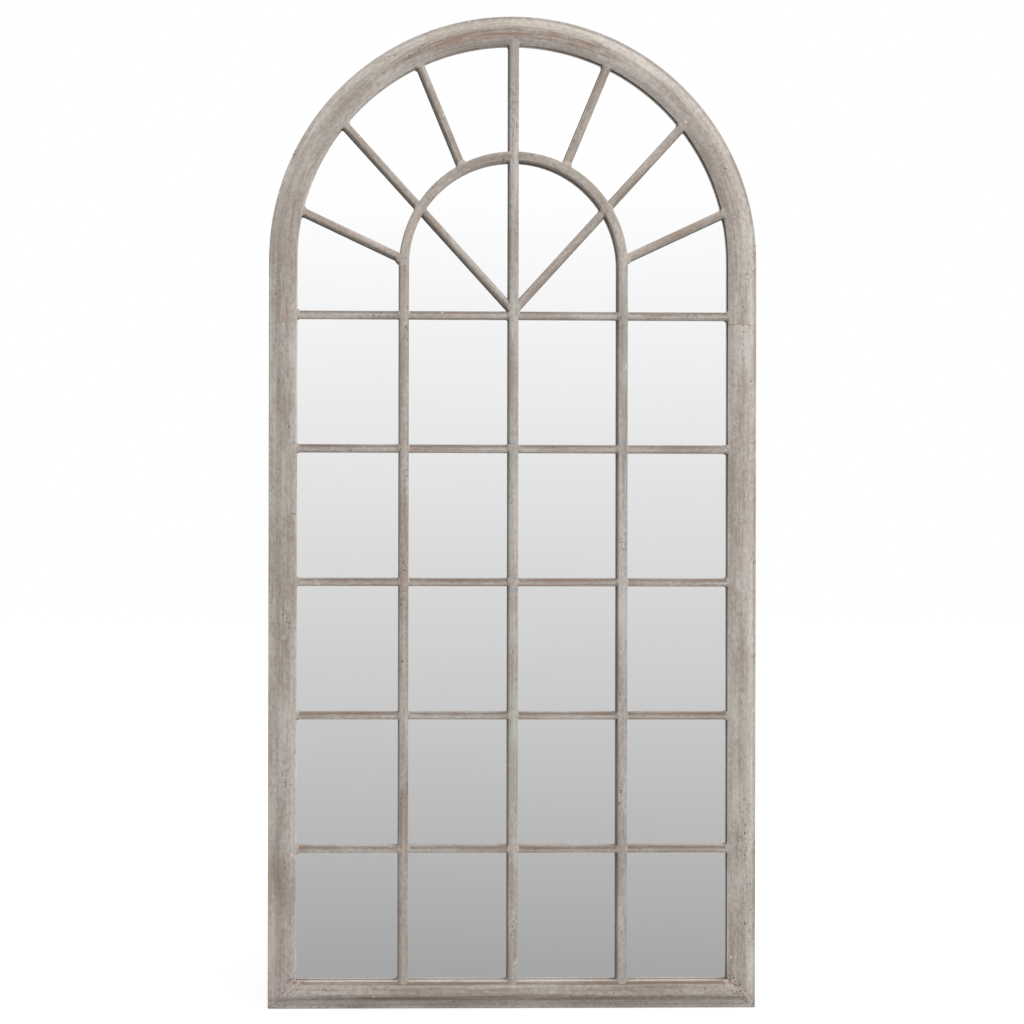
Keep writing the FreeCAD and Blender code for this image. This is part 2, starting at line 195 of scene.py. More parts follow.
def grain_cloud(tree, directions, per_along, per_across, shift, detail=3.0, rough=0.55):
    """Cloud with so many marks per metre along and across a grain's three directions."""
    along, across, depth = directions
    place = put(tree, "CombineXYZ", {0: calc(tree, "MULTIPLY_ADD", along, per_along, shift),
                                     1: calc(tree, "MULTIPLY", across, per_across),
                                     2: calc(tree, "MULTIPLY", depth, per_across)}).outputs[0]
    return cloud(tree, place, detail, rough)


print("grain directions: upright, level, round, turned")

# %% [markdown]
# ## Limed wood
#
# The frame is brown-stained softwood washed with grey-white lime and rubbed back, so most of the wash stays
# and the brown shows through in soft streaks along the grain. One finish does it all: brown wood, a wash
# whose cover follows patches, streaks and mottles, a drift of the wash towards green and rose, then pits and
# plaster flecks. A thin dark foot where the wood meets the glass is painted shade, and the back was never
# painted: there the pine shows.

# %% Colours of the limed wood
BROWN_DARK = paint(134, 114, 100)
BROWN_LIGHT = paint(169, 150, 136)
WASH_GREY = paint(171, 165, 158)
WASH_PALE = paint(199, 192, 185)
WASH_GREEN = paint(178, 175, 161)
WASH_ROSE = paint(193, 178, 171)
# Painted shade: the dark foot where the wood meets the glass.
FOOT_SHADE_DARK = paint(74, 69, 64)
PIT_DARK = paint(96, 83, 74)
PLASTER = paint(224, 216, 206)
PINE_DARK = paint(168, 132, 92)
PINE_PALE = paint(205, 174, 132)
print("limed wood: 11 colours")

# %% [markdown]
# Two kinds of values steer the finish. A cloud has its marks per metre along and across the grain, a shift,
# and the detail and roughness of its noise. A step has the two ends of a range and, where it doesn't go from
# 0 to 1, what it gives at them. The weights say how much each cloud adds to the wear and to the relief.

# %% Clouds, steps and weights of the limed wood
STREAKS = (8.0, 300.0, 0.0, 4.0, 0.60)
FIBRES = (45.0, 1400.0, 0.0, 2.0)
PATCHES = (8.0, 30.0, 7.0)
MOTTLE = (150.0, 230.0, 0.0, 3.0, 0.65)
DRIFT = (7.0, 35.0, 19.0, 2.0)
PIT_AREAS = (14.0, 60.0, 11.0, 2.0)
PITS = (320.0, 520.0, 3.0, 1.0)
FLECKS = (85.0, 130.0, 5.0, 2.0)

BROWN_STEP = (0.7, 1.3)
PALE_STEP = (0.75, 1.25)
GREEN_STEP = (0.54, 0.70, 0.0, 0.55)
ROSE_STEP = (0.46, 0.32, 0.0, 0.6)
COVER_STEP = (0.55, 1.45)
PIT_STEP = (0.62, 0.70)
PIT_AREA_STEP = (0.55, 0.66)
FLECK_STEP = (0.60, 0.66)
SMEAR_STEP = (0.3, 0.6)
FOOT_SHADE_STEP = (GLASS_Y - 0.0042, GLASS_Y - 0.0015)
BARE_STEP = (BACK_Y - 0.0008, BACK_Y + 0.0004)
WOOD_ROUGH_STEP = (0.3, 1.6, 0.62, 0.88)

STREAK_WEAR = 0.8
PATCH_WEAR = 0.9
MOTTLE_WEAR = 0.5
FEWER_FLECKS = -0.25
FOOT_SHADE_WAVE = 0.002
BARE_WAVE = 0.0012
COVER_RELIEF = 0.3
STREAK_RELIEF = 0.4
FIBRE_RELIEF = 0.25
PIT_RELIEF = -1.2
FLECK_RELIEF = 0.9
WOOD_BUMP = 0.0004
DULL_SPECULAR = 0.3


def brown_wood(tree, streaks, fibres):
    """Stained wood under the wash."""
    lightness = soft_step(tree, calc(tree, "ADD", fibres, streaks), *BROWN_STEP)
    return blend(tree, lightness, BROWN_DARK, BROWN_LIGHT)


def lime_wash(tree, mottle, patches, drift):
    """Wash from grey to pale, drifting to green in some stretches and to rose in others."""
    lightness = soft_step(tree, calc(tree, "ADD", mottle, patches), *PALE_STEP)
    wash = blend(tree, lightness, WASH_GREY, WASH_PALE)
    wash = blend(tree, soft_step(tree, drift, *GREEN_STEP), wash, WASH_GREEN)
    return blend(tree, soft_step(tree, drift, *ROSE_STEP), wash, WASH_ROSE)


def limed_wood(name, grain, section, seed, marks=None, chroma=1.0):
    """Limed wood along a grain. section(tree, along, across) gives how much wash each part of the section
    keeps, its tone, which on some pieces also paints light and shade, and how strong the painted shade at its
    foot is; marks(tree) gives pale and dark marks at joints."""
    material, tree, shader = new_finish(name)
    along, across, depth = grain(tree)

    def marked(per_along, per_across, shift, *noise):
        return grain_cloud(tree, (along, across, depth), per_along, per_across, seed + shift, *noise)

    streaks = marked(*STREAKS)
    fibres = marked(*FIBRES)
    patches = marked(*PATCHES)
    mottle = marked(*MOTTLE)
    keep, tone, foot_shade_share = section(tree, along, across)
    wear = calc(tree, "MULTIPLY_ADD", streaks, STREAK_WEAR, calc(tree, "MULTIPLY", patches, PATCH_WEAR))
    wear = calc(tree, "ADD", calc(tree, "MULTIPLY_ADD", mottle, MOTTLE_WEAR, wear), keep)
    cover = soft_step(tree, wear, *COVER_STEP)
    wash = lime_wash(tree, mottle, patches, marked(*DRIFT))
    colour = blend(tree, cover, brown_wood(tree, streaks, fibres), wash)
    # Tone over the section; on the lip's wall, the bars, the spokes and the inner arch it also paints light
    # and shade.
    toned = {"Value": tone, "Saturation": chroma, "Color": colour}
    colour = put(tree, "HueSaturation", toned).outputs[0]

    pit_areas = marked(*PIT_AREAS)
    pits = calc(tree, "MULTIPLY", soft_step(tree, marked(*PITS), *PIT_STEP),
                soft_step(tree, pit_areas, *PIT_AREA_STEP))
    flecks = calc(tree, "MULTIPLY_ADD", pit_areas, FEWER_FLECKS, marked(*FLECKS))
    flecks = soft_step(tree, flecks, *FLECK_STEP)
    if marks:
        pale, dark = marks(tree)
        smear = calc(tree, "MULTIPLY", pale, soft_step(tree, mottle, *SMEAR_STEP))
        colour = blend(tree, smear, colour, WASH_ROSE)
        pits = calc(tree, "MAXIMUM", pits, dark)
    colour = blend(tree, pits, colour, PIT_DARK)
    colour = blend(tree, flecks, colour, PLASTER)
    # Painted shade: a dark foot on the wood just above the glass, as strong as the section's foot share.
    foot = soft_step(tree, calc(tree, "MULTIPLY_ADD", mottle, FOOT_SHADE_WAVE, depth), *FOOT_SHADE_STEP)
    colour = blend(tree, calc(tree, "MULTIPLY", foot, foot_shade_share), colour, FOOT_SHADE_DARK)
    bare = soft_step(tree, calc(tree, "MULTIPLY_ADD", mottle, BARE_WAVE, depth), *BARE_STEP)
    colour = blend(tree, bare, colour, blend(tree, streaks, PINE_DARK, PINE_PALE))

    height = calc(tree, "MULTIPLY_ADD", cover, COVER_RELIEF, calc(tree, "MULTIPLY", streaks, STREAK_RELIEF))
    for mark, relief in ((fibres, FIBRE_RELIEF), (pits, PIT_RELIEF), (flecks, FLECK_RELIEF)):
        height = calc(tree, "MULTIPLY_ADD", mark, relief, height)
    rough = soft_step(tree, calc(tree, "ADD", cover, mottle), *WOOD_ROUGH_STEP)
    finish_with(tree, shader, colour, rough, height, WOOD_BUMP)
    shader.inputs["Specular IOR Level"].default_value = DULL_SPECULAR
    return material


print("limed wood: 8 clouds")

# %% [markdown]
# ## Where the wash stays
#
# Over the frame's section the wash is not even: pale on the outer slope and on the lip, a little less on the
# face, where hands and cloths rub, and scarred away on the face at the crown. The lip's inner wall is lighter
# still, which is painted light. The bottom rail is darker beside the lip and under the shoulder. An upright
# bar is darker on its left and in its grooves, which is painted shade, and a cross bar is darker on top and
# lighter low on its face. The spokes get painted shade on their lower-left edges, the right ones a painted
# highlight along the upper-left edge, and the left half of the inner arch painted light on its inner wall.
# Each of these is a short line over the section: how much wash stays, and how light it is, from the frame's
# outer edge inwards, or across a bar from its left or lower side.

# %% Wash along the sections
EVEN = 0.5


def section_line(tree, value, points):
    """Line of straight runs through (place, height) points, as a ramp of greys; EVEN changes nothing."""
    node = put(tree, "ValToRGB", {0: value})
    stops = node.color_ramp.elements
    while len(stops) < len(points):
        stops.new(EVEN)
    for stop, (place, height) in zip(stops, points):
        stop.position = place
        stop.color = (height, height, height, 1.0)
    return calc(tree, "SUBTRACT", node.outputs[0], EVEN)


def tone_line(tree, value, points):
    """Lightness over a section; EVEN leaves the colour as it is."""
    return calc(tree, "ADD", section_line(tree, value, points), 1.0)


FRAME_WASH = [(0.0, 0.60), (0.08, 0.62), (0.20, 0.62), (0.30, 0.48), (0.42, 0.54), (0.58, 0.44),
              (0.68, 0.46), (0.80, 0.52), (0.92, 0.60), (1.0, 0.60)]
# Painted light: the last stop lifts the lip's inner wall to half again as light; the rest is the wash's own
# tone.
FRAME_TONE_AND_PAINTED_LIGHT = [(0.0, 0.50), (0.08, 0.52), (0.14, 0.68), (0.24, 0.70), (0.32, 0.60), (0.42, 0.52),
              (0.5, 0.50), (0.88, 0.50), (0.91, 0.42), (0.93, 0.44), (0.95, 0.66), (0.985, 0.66), (1.0, 1.0)]
CROWN_RUB = [(0.38, 0.5), (0.48, 0.12), (0.74, 0.14), (0.84, 0.5)]
RAIL_WASH = [(0.0, 0.60), (0.10, 0.56), (0.28, 0.54), (0.36, 0.30), (0.46, 0.34), (0.58, 0.50),
             (0.84, 0.48), (0.89, 0.12), (0.95, 0.14), (0.975, 0.60), (1.0, 0.60)]
RAIL_TONE = [(0.0, 0.36), (0.08, 0.42), (0.13, 0.55), (0.28, 0.62), (0.36, 0.38), (0.46, 0.36),
             (0.56, 0.50), (0.84, 0.50), (0.89, 0.26), (0.95, 0.26), (0.975, 0.58), (1.0, 0.70)]
UPRIGHT_WASH = [(0.0, 0.46), (0.30, 0.46), (0.40, 0.50), (0.70, 0.54), (1.0, 0.56)]
# Painted shade: the left bar darker on its left side and in a groove near its right side.
UPRIGHT_PAINTED_SHADE = [(0.0, 0.36), (0.04, 0.38), (0.10, 0.44), (0.28, 0.42), (0.34, 0.50), (0.80, 0.48),
                (0.88, 0.42), (0.94, 0.50), (1.0, 0.50)]
# Painted shade: the centre and right bars darker on their left edge and in their grooves.
CRISP_PAINTED_SHADE = [(0.0, 0.30), (0.03, 0.34), (0.06, 0.56), (0.20, 0.58), (0.26, 0.46), (0.32, 0.54),
              (0.80, 0.48), (0.86, 0.38), (0.92, 0.50), (1.0, 0.50)]
ROW_WASH = [(0.0, 0.56), (0.45, 0.56), (0.62, 0.42), (0.86, 0.34), (1.0, 0.50)]
ROW_TONE = [(0.0, 0.74), (0.08, 0.86), (0.16, 0.95), (0.26, 0.86), (0.38, 0.65), (0.50, 0.48),
            (0.62, 0.26), (0.75, 0.12), (0.86, 0.22), (0.93, 0.55), (1.0, 0.55)]
SPOKE_WASH = [(0.0, 0.54), (0.25, 0.50), (0.5, 0.42), (0.75, 0.50), (1.0, 0.54)]
RIGHT_ARCH_TONE = [(0.0, 0.46), (0.15, 0.50), (0.23, 0.42), (0.28, 0.50), (0.72, 0.50), (0.77, 0.42),
                   (0.85, 0.50), (1.0, 0.46)]
# Painted light on the inner wall of the left half of the inner arch.
LEFT_ARCH_PAINTED_LIGHT = [(0.0, 1.0), (0.03, 0.96), (0.06, 0.50), (0.94, 0.50), (1.0, 0.46)]
# Painted shade along the lower-left edge of the left spokes.
LEFT_SPOKE_PAINTED_SHADE = [(0.0, 0.50), (0.20, 0.54), (0.60, 0.50), (0.76, 0.44), (0.82, 0.16), (1.0, 0.06)]
# Painted highlight along the upper-left edge of the right spokes, edged by a painted dark line.
RIGHT_SPOKE_HIGHLIGHT_AND_SHADE = [(0.0, 0.46), (0.20, 0.52), (0.66, 0.48), (0.76, 0.38), (0.82, 0.72), (0.92, 0.74),
                    (0.95, 0.12), (1.0, 0.06)]
print("wash follows", len(FRAME_WASH), "points of the frame and", len(SPOKE_WASH), "of a bar")

# %% [markdown]
# A section turns a place on the piece into a share of its width and reads the lines there. The frame's sides
# also know how far they are from the crown, since the grain's length runs from the right side over the crown
# to the left. The painted shade at the foot by the glass is strong mainly on the right, where the camera
# looks at the lip's wall.

# %% Sections of the pieces
CROWN_ALONG = HALF_WIDTH * math.pi / 2
NEAR_CROWN_STEP = (0.26, 0.10)
SCARS = (24.0, 200.0, 3.0, 5.0, 0.7)
SCAR_STEP = (0.38, 0.60, 0.25, 1.3)
SIDE_WASH_STEP = (CROWN_ALONG - 0.3, CROWN_ALONG + 0.3, 0.05, 0.03)
# Painted shade: the foot by the glass is dark on the right side, fading over the crown to faint on the left.
SIDE_FOOT_SHADE_STEP = (CROWN_ALONG + 0.1, CROWN_ALONG - 0.2, 0.05, 0.95)
NEAR_CORNER_STEP = (0.22, 0.32)
CORNER_WASH = 0.15
CORNER_TONE = 0.12
# Painted shade at the foot of the bottom rail.
RAIL_FOOT_SHADE = 0.7


def side_section(tree, along, across):
    """Wash, tone and painted foot shade of the stiles and the arch, whose face is scarred near the crown."""
    share = calc(tree, "DIVIDE", calc(tree, "SUBTRACT", HALF_WIDTH, across), FRAME_WIDTH)
    off_crown = calc(tree, "ABSOLUTE", calc(tree, "SUBTRACT", along, CROWN_ALONG))
    near_crown = soft_step(tree, off_crown, *NEAR_CROWN_STEP)
    scars = grain_cloud(tree, (along, across, 0.0), *SCARS)
    rubbed = calc(tree, "MULTIPLY", near_crown, soft_step(tree, scars, *SCAR_STEP))
    keep = calc(tree, "MULTIPLY_ADD", section_line(tree, share, CROWN_RUB), rubbed,
                section_line(tree, share, FRAME_WASH))
    keep = calc(tree, "ADD", keep, soft_step(tree, along, *SIDE_WASH_STEP))
    return keep, tone_line(tree, share, FRAME_TONE_AND_PAINTED_LIGHT), soft_step(tree, along, *SIDE_FOOT_SHADE_STEP)


def rail_section(tree, along, across):
    """Wash, tone and painted foot shade of the bottom rail, which is paler towards its corners."""
    share = calc(tree, "DIVIDE", across, FRAME_WIDTH)
    near_corner = soft_step(tree, calc(tree, "ABSOLUTE", along), *NEAR_CORNER_STEP)
    keep = calc(tree, "MULTIPLY_ADD", near_corner, CORNER_WASH, section_line(tree, share, RAIL_WASH))
    tone = calc(tree, "MULTIPLY_ADD", near_corner, CORNER_TONE, tone_line(tree, share, RAIL_TONE))
    return keep, tone, RAIL_FOOT_SHADE


def bar_section(middle, width, wash, tone, more_wash, foot):
    """Wash, tone and painted foot shade of a bar of a width; middle(tree, across) is its middle line beside
    that place.
    """
    def section(tree, along, across):
        off_axis = calc(tree, "SUBTRACT", across, middle(tree, across))
        share = calc(tree, "MULTIPLY_ADD", off_axis, 1 / width, 0.5)
        keep = calc(tree, "ADD", section_line(tree, share, wash), more_wash)
        return keep, tone_line(tree, share, tone), foot
    return section


def nearest_row(tree, across):
    """Middle line of the nearest row."""
    step = calc(tree, "DIVIDE", calc(tree, "SUBTRACT", across, FIRST_ROW_Z), ROW_PITCH)
    return calc(tree, "MULTIPLY_ADD", calc(tree, "ROUND", step), ROW_PITCH, FIRST_ROW_Z)


def line_at(place):
    """The same middle line everywhere."""
    return lambda tree, across: place


print("crown", round(CROWN_ALONG, 3), "m along the side from the springing")

# %% [markdown]
# Joints show a little: pale filler smeared along the bottom mitres, with small holes in it, and a broken
# hairline where each stile meets the arch, clearer on the right. A mitre runs where the distance from the
# outer side equals the height, so its distance is their difference over the square root of two.

# %% Marks at the frame's joints
MITRE_SMEAR_STEP = (0.0085, 0.003)
ABOVE_EDGE_STEP = (0.010, 0.026)
MITRE_LINE_STEP = (0.0007, 0.0002, 0.0, 0.15)
HOLES = (300.0, 380.0, 47.0, 1.0, 0.5)
HOLE_STEP = (0.57, 0.66)
HOLE_REACH_STEP = (0.016, 0.004, 0.0, 0.8)
LEG_LINE_STEP = (0.0010, 0.0004)
LEFT_TO_RIGHT_STEP = (-0.1, 0.1, 0.12, 0.5)
BREAKS = (130.0, 20.0, 31.0, 2.0, 0.5)
BREAK_STEP = (0.42, 0.58, 0.2)


def joint_marks(tree):
    """Pale smear with small holes along the bottom mitres, and dark hairlines there and under the arch."""
    x, y, z = object_axes(tree)
    inward = calc(tree, "SUBTRACT", HALF_WIDTH, calc(tree, "ABSOLUTE", x))
    uneven = calc(tree, "SUBTRACT", inward, z)
    off_mitre = calc(tree, "ABSOLUTE", calc(tree, "MULTIPLY", uneven, math.sqrt(0.5)))
    pale = calc(tree, "MULTIPLY", soft_step(tree, off_mitre, *MITRE_SMEAR_STEP),
                soft_step(tree, z, *ABOVE_EDGE_STEP))
    off_joint = calc(tree, "ABSOLUTE", calc(tree, "SUBTRACT", z, LEG_JOINT_Z))
    breaks = grain_cloud(tree, (x, z, y), *BREAKS)
    showing = calc(tree, "MULTIPLY", soft_step(tree, x, *LEFT_TO_RIGHT_STEP),
                   soft_step(tree, breaks, *BREAK_STEP))
    leg_line = calc(tree, "MULTIPLY", soft_step(tree, off_joint, *LEG_LINE_STEP), showing)
    holes = soft_step(tree, grain_cloud(tree, (x, z, y), *HOLES), *HOLE_STEP)
    holes = calc(tree, "MULTIPLY", holes, soft_step(tree, off_mitre, *HOLE_REACH_STEP))
    dark = calc(tree, "MAXIMUM", leg_line, holes)
    return pale, calc(tree, "MAXIMUM", dark, soft_step(tree, off_mitre, *MITRE_LINE_STEP))


print("marks: two mitres and two joints under the arch")

# %% [markdown]
# Each piece of the frame and each upright bar gets its own finish with its own seed, so that their grain
# differs; the cross bars share one. The left bar is browner than the other two, as in the photograph.

# %% Limed wood on the frame and the bars
SIDE_SEED_STEP = 3.7
RAIL_SEED = 23.0
BAR_SEED = 31.0
ROW_SEED = 37.0
INNER_ARCH_SEED = 41.0
MAIN_BAR_WIDTH = 0.0136
ROW_BAR_WIDTH = 0.0118
# How strong the painted shade at the foot of each kind of bar is.
BAR_FOOT_SHADE = 0.8
ROW_FOOT_SHADE = 0.1
ROW_MORE_WASH = -0.04
INNER_ARCH_MORE_WASH = 0.05


def dress(name, material):
    """Gives a node its finish."""
    nodes[name].data.materials[0] = material


side_grain = round_grain(SPRING_Z, HALF_WIDTH)
for number, name in enumerate(("left_stile", "arch_left", "arch_crown", "arch_right", "right_stile")):
    seed = SIDE_SEED_STEP * number
    dress(name, limed_wood("limed_" + name, side_grain, side_section, seed, joint_marks))
dress("bottom_rail", limed_wood("limed_bottom_rail", level_grain, rail_section, RAIL_SEED, joint_marks))

for name, place, tone, more_wash, chroma in (
    ("left_bar", -BAR_PITCH, UPRIGHT_PAINTED_SHADE, -0.05, 1.0),
    ("centre_bar", 0.0, CRISP_PAINTED_SHADE, 0.04, 0.7),
    ("right_bar", BAR_PITCH, CRISP_PAINTED_SHADE, 0.04, 0.7),
):
    section = bar_section(line_at(place), MAIN_BAR_WIDTH, UPRIGHT_WASH, tone, more_wash, BAR_FOOT_SHADE)
    dress(name, limed_wood("limed_" + name, upright_grain, section, BAR_SEED + place, chroma=chroma))

row_section = bar_section(nearest_row, ROW_BAR_WIDTH, ROW_WASH, ROW_TONE, ROW_MORE_WASH, ROW_FOOT_SHADE)
level_wood = limed_wood("limed_cross_bars", level_grain, row_section, ROW_SEED)
for name in nodes:
    if name.startswith("cross_bar"):
        dress(name, level_wood)

inner_grain = round_grain(INNER_ARCH_Z, BAR_PITCH)
# The left half of the inner arch gets painted light on its inner wall and no foot shade; the right half gets
# the bars' painted foot shade.
for name, tone, foot in (("inner_arch_left", LEFT_ARCH_PAINTED_LIGHT, 0.0),
                         ("inner_arch_right", RIGHT_ARCH_TONE, BAR_FOOT_SHADE)):
    section = bar_section(line_at(BAR_PITCH), MAIN_BAR_WIDTH, SPOKE_WASH, tone, INNER_ARCH_MORE_WASH, foot)
    dress(name, limed_wood("limed_" + name, inner_grain, section, INNER_ARCH_SEED))
limed = [name for name, node in nodes.items() if node.data.materials[0].name.startswith("limed_")]
print("limed:", len(limed), "nodes")

# %% [markdown]
# ## Spokes of the fanlight
#
# Each spoke leaves the inner arch at its own angle. Its middle line goes through an aim on the centre line,
# so the aim and the point on the frame's sight edge give the angle. The grain is then turned by that angle
# and starts at the aim. The outer ends divide the half circle into seven parts and stand in the middle of
# the first three on each side.

# %% Limed wood on the spokes
HUB_Z = 0.9839
HIGH_AIM_Z = 1.0109
FAN_PARTS = 7
SPOKE_WIDTH = 0.0126
# Painted shade at the foot of the spokes.
SPOKE_FOOT_SHADE = 0.6
SPOKE_SEED = 50.0
SPOKE_SEED_STEP = 5.0
spoke_lines = {}
for side_name, side, tone in (("left", -1, LEFT_SPOKE_PAINTED_SHADE), ("right", 1, RIGHT_SPOKE_HIGHLIGHT_AND_SHADE)):
    spoke_section = bar_section(line_at(0.0), SPOKE_WIDTH, SPOKE_WASH, tone, 0.0, SPOKE_FOOT_SHADE)
    for label, place, aim_z in (("low", 0.5, HUB_Z), ("diagonal", 1.5, HUB_Z), ("high", 2.5, HIGH_AIM_Z)):
        turn = math.radians(place * 180 / FAN_PARTS)
        tip_z = SPRING_Z + SIGHT_RADIUS * math.sin(turn)
        tip = Vector((side * SIGHT_RADIUS * math.cos(turn), 0.0, tip_z))
        angle = math.atan2(tip.z - aim_z, tip.x)
        spoke_lines[f"{label}_{side_name}"] = (aim_z, angle, tip)
        wood = limed_wood(f"limed_{label}_spoke_{side_name}", turned_grain(0.0, aim_z, angle),
                          spoke_section, SPOKE_SEED + SPOKE_SEED_STEP * place + side)
        dress(f"{label}_spoke_{side_name}", wood)
        if label == "diagonal":
            dress(f"hub_ray_{side_name}", wood)
print("spokes:", {name: round(math.degrees(line[1]), 1) for name, line in spoke_lines.items()})

# %% [markdown]
# ## Mirror glass
#
# The glass is silvered on its back. Clear glass over silver would need two refractions for a look that a
# bright metal gives at once, so the sheet gets a metallic finish with almost no roughness. Faint wiping
# marks keep it from being perfectly even.

# %% Mirror finish
WIPES = (3.0, 9.0, 0.0, 4.0)
WIPE_ROUGH_STEP = (0.35, 0.75, 0.004, 0.016)
mirror, tree, shader = new_finish("silvered_glass")
wipes = grain_cloud(tree, level_grain(tree), *WIPES)
tree.links.new(soft_step(tree, wipes, *WIPE_ROUGH_STEP), shader.inputs["Roughness"])
tint = blend(tree, wipes, paint(251, 251, 251), paint(254, 254, 254))
tree.links.new(tint, shader.inputs["Base Color"])
shader.inputs["Metallic"].default_value = 1.0
dress("mirror_glass", mirror)
print("mirror finish on", nodes["mirror_glass"].name)

# %% [markdown]
# ## Filler at the joints
#
# The short bars only butt against the long ones, and the maker pressed pale filler over every joint and
# smoothed it with a thumb, so each crossing looks like a soft knuckle. One dab is enough to model: half a
# small ball, flattened, with a skirt drawn down to the glass and its surface pushed about a little. Copies
# then go to each joint.

# %% One dab of filler
DAB_RADIUS = 0.010
DAB_SWELL = 0.0030
DAB_RIM = 0.0102
DAB_SKIRT = DAB_RIM + 0.0003
SKIRT_SHARE = 0.93
UNEVEN = 0.0004


def model_dab(name, swell, foot):
    """Dab about the origin: a cap that stands swell proud of its rim and a skirt of length foot."""
    bpy.ops.object.select_all(action="DESELECT")
    bpy.ops.mesh.primitive_ico_sphere_add(subdivisions=3, radius=DAB_RADIUS)
    dab = bpy.context.object
    dab.name = name
    bpy.ops.object.mode_set(mode="EDIT")
    bpy.ops.mesh.select_all(action="SELECT")
    bpy.ops.transform.resize(value=(1.0, swell / DAB_RADIUS, 1.0))
    bpy.ops.mesh.bisect(plane_co=(0.0, 0.0, 0.0), plane_no=(0.0, 1.0, 0.0), clear_outer=True)
    bpy.ops.mesh.extrude_region_move(TRANSFORM_OT_translate={"value": (0.0, foot, 0.0)})
    bpy.ops.transform.resize(value=(SKIRT_SHARE, 1.0, SKIRT_SHARE))
    bpy.ops.mesh.edge_face_add()
    bpy.ops.mesh.select_all(action="SELECT")
    bpy.ops.transform.vertex_random(offset=UNEVEN, normal=0.6, seed=4)
    bpy.ops.mesh.vertices_smooth(factor=0.4, repeat=1)
    bpy.ops.mesh.normals_make_consistent(inside=False)
    bpy.ops.object.mode_set(mode="OBJECT")
    bpy.ops.object.shade_smooth()
    return dab


dab = model_dab("filler_dab", DAB_SWELL, DAB_SKIRT)
print("dab:", len(dab.data.polygons), "faces", tuple(round(value, 4) for value in dab.dimensions))

# %% [markdown]
# The joints are where the setting-out lines meet: bars and rows, spokes and the inner arch, bar ends and the
# frame. A list of places, each with a size and a lift, is all that the copies need: where bars stand
# prouder, the dab is lifted with them, and at the frame's lip it is sunk. The dabs of the low and high
# spokes lie a little outside the inner arch, because those spokes end there.

# %% Places of the joints
MAIN_SIZE = 0.94
HUB_SIZE = 0.96
ROW_END_SIZE = 0.85
SPOKE_END_SIZE = 0.88
SHORT_SPOKE_SIZE = 0.85
SIDE_BAR_LIFT = 0.0008
CENTRE_BAR_LIFT = 0.0014
ROW_END_LIFT = -0.0010
BAR_FOOT_LIFT = -0.0004
CROWN_END_LIFT = 0.0008
SPOKE_END_LIFT = -0.0013
INNER_ARCH_LIFT = 0.0004
HUB_UP = 0.004
END_IN = 0.003
SHORT_SPOKE_OUT = 0.004

row_heights = [FIRST_ROW_Z + ROW_PITCH * row for row in range(ROWS)]
bar_places = [-BAR_PITCH, 0.0, BAR_PITCH]
joints = [(x, z, MAIN_SIZE, SIDE_BAR_LIFT if x else CENTRE_BAR_LIFT) for x in bar_places for z in row_heights]
joints.append((0.0, INNER_ARCH_Z + BAR_PITCH, MAIN_SIZE, CENTRE_BAR_LIFT))
joints.append((0.0, HUB_Z + HUB_UP, HUB_SIZE, CENTRE_BAR_LIFT))
ends = [(side * (SIGHT_RADIUS + END_IN), z, ROW_END_SIZE, ROW_END_LIFT)
        for z in row_heights for side in (-1, 1)]
ends += [(x, FRAME_WIDTH - END_IN, MAIN_SIZE, BAR_FOOT_LIFT) for x in bar_places]
ends.append((0.0, SPRING_Z + SIGHT_RADIUS + END_IN, MAIN_SIZE, CROWN_END_LIFT))
for name, (aim_z, angle, tip) in spoke_lines.items():
    lean = Vector((math.cos(angle), 0.0, math.sin(angle)))
    ends.append((tip.x + END_IN * lean.x, tip.z + END_IN * lean.z, SPOKE_END_SIZE, SPOKE_END_LIFT))
    drop = INNER_ARCH_Z - aim_z
    reach = lean.z * drop + math.sqrt(BAR_PITCH ** 2 - (lean.x * drop) ** 2)
    if aim_z + reach * lean.z < INNER_ARCH_Z:
        reach = BAR_PITCH / abs(lean.x)
    size = MAIN_SIZE
    if not name.startswith("diagonal"):
        size = SHORT_SPOKE_SIZE
        reach += SHORT_SPOKE_OUT
    joints.append((reach * lean.x, aim_z + reach * lean.z, size, INNER_ARCH_LIFT))
print(len(joints), "joints of bars and", len(ends), "bar ends")

# %% [markdown]
# The copies of a model are joined into one piece that rides on the mirror. Every dab is turned a little
# further than the last, so that no two look alike.

# %% Copies at every joint
scene = bpy.context.scene
DAB_TURN = 2.4
DAB_OVAL = 0.92


def lay_copies(model, name, places):
    """Copies of a model, one for each placing matrix, joined into one piece; the model itself goes away."""
    copies = []
    for place in places:
        copy = model.copy()
        copy.data = model.data.copy()
        copy.data.transform(place)
        scene.collection.objects.link(copy)
        copies.append(copy)
    bpy.ops.object.select_all(action="DESELECT")
    for copy in copies:
        copy.select_set(True)
    bpy.context.view_layer.objects.active = copies[0]
    bpy.ops.object.join()
    copies[0].name = name
    bpy.data.objects.remove(model)
    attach(copies[0], "mirror_body")
    return copies[0]


def dab_place(number, x, z, size, lift):
    """Place of one dab: a joint, a size, a lift and a turn of its own."""
    turn = Matrix.Rotation(DAB_TURN * number, 4, "Y")
    scale = Matrix.Diagonal((size, 1.0, size * DAB_OVAL, 1.0))
    return Matrix.Translation((x, GLASS_Y - DAB_RIM - lift, z)) @ turn @ scale


places = [dab_place(number, *joint) for number, joint in enumerate(joints + ends)]
joint_filler = lay_copies(dab, "joint_filler", places)
print("filler:", len(places), "dabs,", len(joint_filler.data.polygons), "faces")

# %% [markdown]
# Filler is finer than wood: no grain, a pale putty colour that drifts to grey, and specks of brown dirt.

